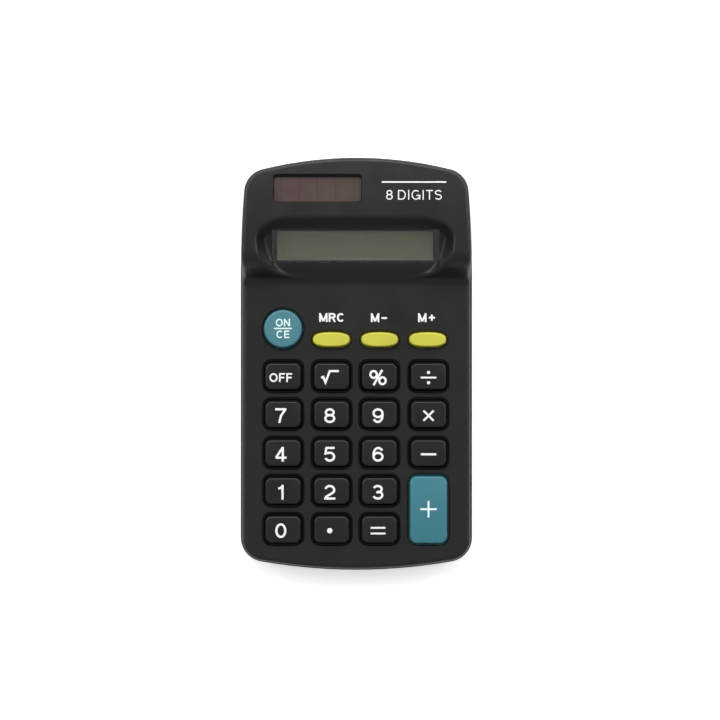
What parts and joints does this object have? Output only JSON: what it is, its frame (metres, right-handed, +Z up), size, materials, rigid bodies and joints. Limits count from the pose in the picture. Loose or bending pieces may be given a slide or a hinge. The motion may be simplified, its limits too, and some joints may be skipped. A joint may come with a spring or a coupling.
{
  "type": "pocket calculator",
  "caption": "Hand-held calculator with a raised display block, solar cell, sprung keys over a dome sheet, and a sliding battery door on its flat back.",
  "frame": {"origin": "centre of the flat back, which the calculator lies on", "axes": "+X to the right of the keys, +Y towards the display end, +Z up out of the keys"},
  "size_m": [0.0658, 0.117, 0.0205],
  "materials": {
    "black_case": "satin",
    "black_key": "satin",
    "teal_key": "satin",
    "yellow_key": "satin",
    "silicone": "matte",
    "carbon": "matte",
    "board": "satin",
    "resin": "gloss",
    "capacitor_can": "satin",
    "ceramic_disc": "satin",
    "resistor_coat": "satin",
    "diode_glass": "gloss",
    "clear_window": "gloss",
    "lcd_glass": "gloss",
    "polariser": "gloss",
    "reflector": "satin",
    "clip_plastic": "matte",
    "ribbon_film": "satin",
    "solar_glass": "gloss",
    "foam": "matte",
    "cell_wrap": "gloss",
    "contact_steel": "polished",
    "red_wire": "satin",
    "black_wire": "satin",
    "screw_steel": "satin"
  },
  "bodies": {
    "case": {"aa_cell": "cell_wrap", "battery_spring": "contact_steel", "battery_wire_black": "black_wire", "battery_wire_red": "red_wire", "board_screws": "screw_steel", "carbon_pills": "carbon", "case_screws": "screw_steel", "ceramic_capacitor": "ceramic_disc", "chip_resin_blob": "resin", "diodes": "diode_glass", "display_window": "clear_window", "electrolytic_capacitor": "capacitor_can", "front_cover": "black_case", "keypad_sheet": "silicone", "lcd_end_clips": "clip_plastic", "lcd_front_polariser": "polariser", "lcd_panel": "lcd_glass", "lcd_reflector": "reflector", "lcd_ribbon": "ribbon_film", "main_board": "board", "negative_contact": "contact_steel", "oscillator_resistor": "resistor_coat", "positive_contact": "contact_steel", "rear_cover": "black_case", "solar_cell": "solar_glass", "solar_cell_pad": "foam", "solar_wire_black": "black_wire", "solar_wire_red": "red_wire"},
    "battery_door": {"battery_door": "black_case"},
    "key_0": {"key_0": "black_key"},
    "key_1": {"key_1": "black_key"},
    "key_2": {"key_2": "black_key"},
    "key_3": {"key_3": "black_key"},
    "key_4": {"key_4": "black_key"},
    "key_5": {"key_5": "black_key"},
    "key_6": {"key_6": "black_key"},
    "key_7": {"key_7": "black_key"},
    "key_8": {"key_8": "black_key"},
    "key_9": {"key_9": "black_key"},
    "key_divide": {"key_divide": "black_key"},
    "key_equals": {"key_equals": "black_key"},
    "key_memory_minus": {"key_memory_minus": "yellow_key"},
    "key_memory_plus": {"key_memory_plus": "yellow_key"},
    "key_memory_recall": {"key_memory_recall": "yellow_key"},
    "key_minus": {"key_minus": "black_key"},
    "key_multiply": {"key_multiply": "black_key"},
    "key_off": {"key_off": "black_key"},
    "key_on_ce": {"key_on_ce": "teal_key"},
    "key_percent": {"key_percent": "black_key"},
    "key_plus": {"key_plus": "teal_key"},
    "key_point": {"key_point": "black_key"},
    "key_root": {"key_root": "black_key"}
  },
  "joints": [
    {"name": "key_0_press", "type": "slide", "parent": "case", "child": "key_0", "axis": [0, 0, -1], "range_m": [0, 0.001], "stiffness_N_per_m": 600, "deforming": ["keypad_sheet"]},
    {"name": "key_1_press", "type": "slide", "parent": "case", "child": "key_1", "axis": [0, 0, -1], "range_m": [0, 0.001], "stiffness_N_per_m": 600, "deforming": ["keypad_sheet"]},
    {"name": "key_2_press", "type": "slide", "parent": "case", "child": "key_2", "axis": [0, 0, -1], "range_m": [0, 0.001], "stiffness_N_per_m": 600, "deforming": ["keypad_sheet"]},
    {"name": "key_3_press", "type": "slide", "parent": "case", "child": "key_3", "axis": [0, 0, -1], "range_m": [0, 0.001], "stiffness_N_per_m": 600, "deforming": ["keypad_sheet"]},
    {"name": "key_4_press", "type": "slide", "parent": "case", "child": "key_4", "axis": [0, 0, -1], "range_m": [0, 0.001], "stiffness_N_per_m": 600, "deforming": ["keypad_sheet"]},
    {"name": "key_5_press", "type": "slide", "parent": "case", "child": "key_5", "axis": [0, 0, -1], "range_m": [0, 0.001], "stiffness_N_per_m": 600, "deforming": ["keypad_sheet"]},
    {"name": "key_6_press", "type": "slide", "parent": "case", "child": "key_6", "axis": [0, 0, -1], "range_m": [0, 0.001], "stiffness_N_per_m": 600, "deforming": ["keypad_sheet"]},
    {"name": "key_7_press", "type": "slide", "parent": "case", "child": "key_7", "axis": [0, 0, -1], "range_m": [0, 0.001], "stiffness_N_per_m": 600, "deforming": ["keypad_sheet"]},
    {"name": "key_8_press", "type": "slide", "parent": "case", "child": "key_8", "axis": [0, 0, -1], "range_m": [0, 0.001], "stiffness_N_per_m": 600, "deforming": ["keypad_sheet"]},
    {"name": "key_9_press", "type": "slide", "parent": "case", "child": "key_9", "axis": [0, 0, -1], "range_m": [0, 0.001], "stiffness_N_per_m": 600, "deforming": ["keypad_sheet"]},
    {"name": "key_divide_press", "type": "slide", "parent": "case", "child": "key_divide", "axis": [0, 0, -1], "range_m": [0, 0.001], "stiffness_N_per_m": 600, "deforming": ["keypad_sheet"]},
    {"name": "key_equals_press", "type": "slide", "parent": "case", "child": "key_equals", "axis": [0, 0, -1], "range_m": [0, 0.001], "stiffness_N_per_m": 600, "deforming": ["keypad_sheet"]},
    {"name": "key_memory_minus_press", "type": "slide", "parent": "case", "child": "key_memory_minus", "axis": [0, 0, -1], "range_m": [0, 0.001], "stiffness_N_per_m": 600, "deforming": ["keypad_sheet"]},
    {"name": "key_memory_plus_press", "type": "slide", "parent": "case", "child": "key_memory_plus", "axis": [0, 0, -1], "range_m": [0, 0.001], "stiffness_N_per_m": 600, "deforming": ["keypad_sheet"]},
    {"name": "key_memory_recall_press", "type": "slide", "parent": "case", "child": "key_memory_recall", "axis": [0, 0, -1], "range_m": [0, 0.001], "stiffness_N_per_m": 600, "deforming": ["keypad_sheet"]},
    {"name": "key_minus_press", "type": "slide", "parent": "case", "child": "key_minus", "axis": [0, 0, -1], "range_m": [0, 0.001], "stiffness_N_per_m": 600, "deforming": ["keypad_sheet"]},
    {"name": "key_multiply_press", "type": "slide", "parent": "case", "child": "key_multiply", "axis": [0, 0, -1], "range_m": [0, 0.001], "stiffness_N_per_m": 600, "deforming": ["keypad_sheet"]},
    {"name": "key_off_press", "type": "slide", "parent": "case", "child": "key_off", "axis": [0, 0, -1], "range_m": [0, 0.001], "stiffness_N_per_m": 600, "deforming": ["keypad_sheet"]},
    {"name": "key_on_ce_press", "type": "slide", "parent": "case", "child": "key_on_ce", "axis": [0, 0, -1], "range_m": [0, 0.001], "stiffness_N_per_m": 600, "deforming": ["keypad_sheet"]},
    {"name": "key_percent_press", "type": "slide", "parent": "case", "child": "key_percent", "axis": [0, 0, -1], "range_m": [0, 0.001], "stiffness_N_per_m": 600, "deforming": ["keypad_sheet"]},
    {"name": "key_plus_press", "type": "slide", "parent": "case", "child": "key_plus", "axis": [0, 0, -1], "range_m": [0, 0.001], "stiffness_N_per_m": 600, "deforming": ["keypad_sheet"]},
    {"name": "key_point_press", "type": "slide", "parent": "case", "child": "key_point", "axis": [0, 0, -1], "range_m": [0, 0.001], "stiffness_N_per_m": 600, "deforming": ["keypad_sheet"]},
    {"name": "key_root_press", "type": "slide", "parent": "case", "child": "key_root", "axis": [0, 0, -1], "range_m": [0, 0.001], "stiffness_N_per_m": 600, "deforming": ["keypad_sheet"]},
    {"name": "battery_door_slide", "type": "slide", "parent": "case", "child": "battery_door", "axis": [0, 1, 0], "range_m": [0, 0.022]}
  ]
}
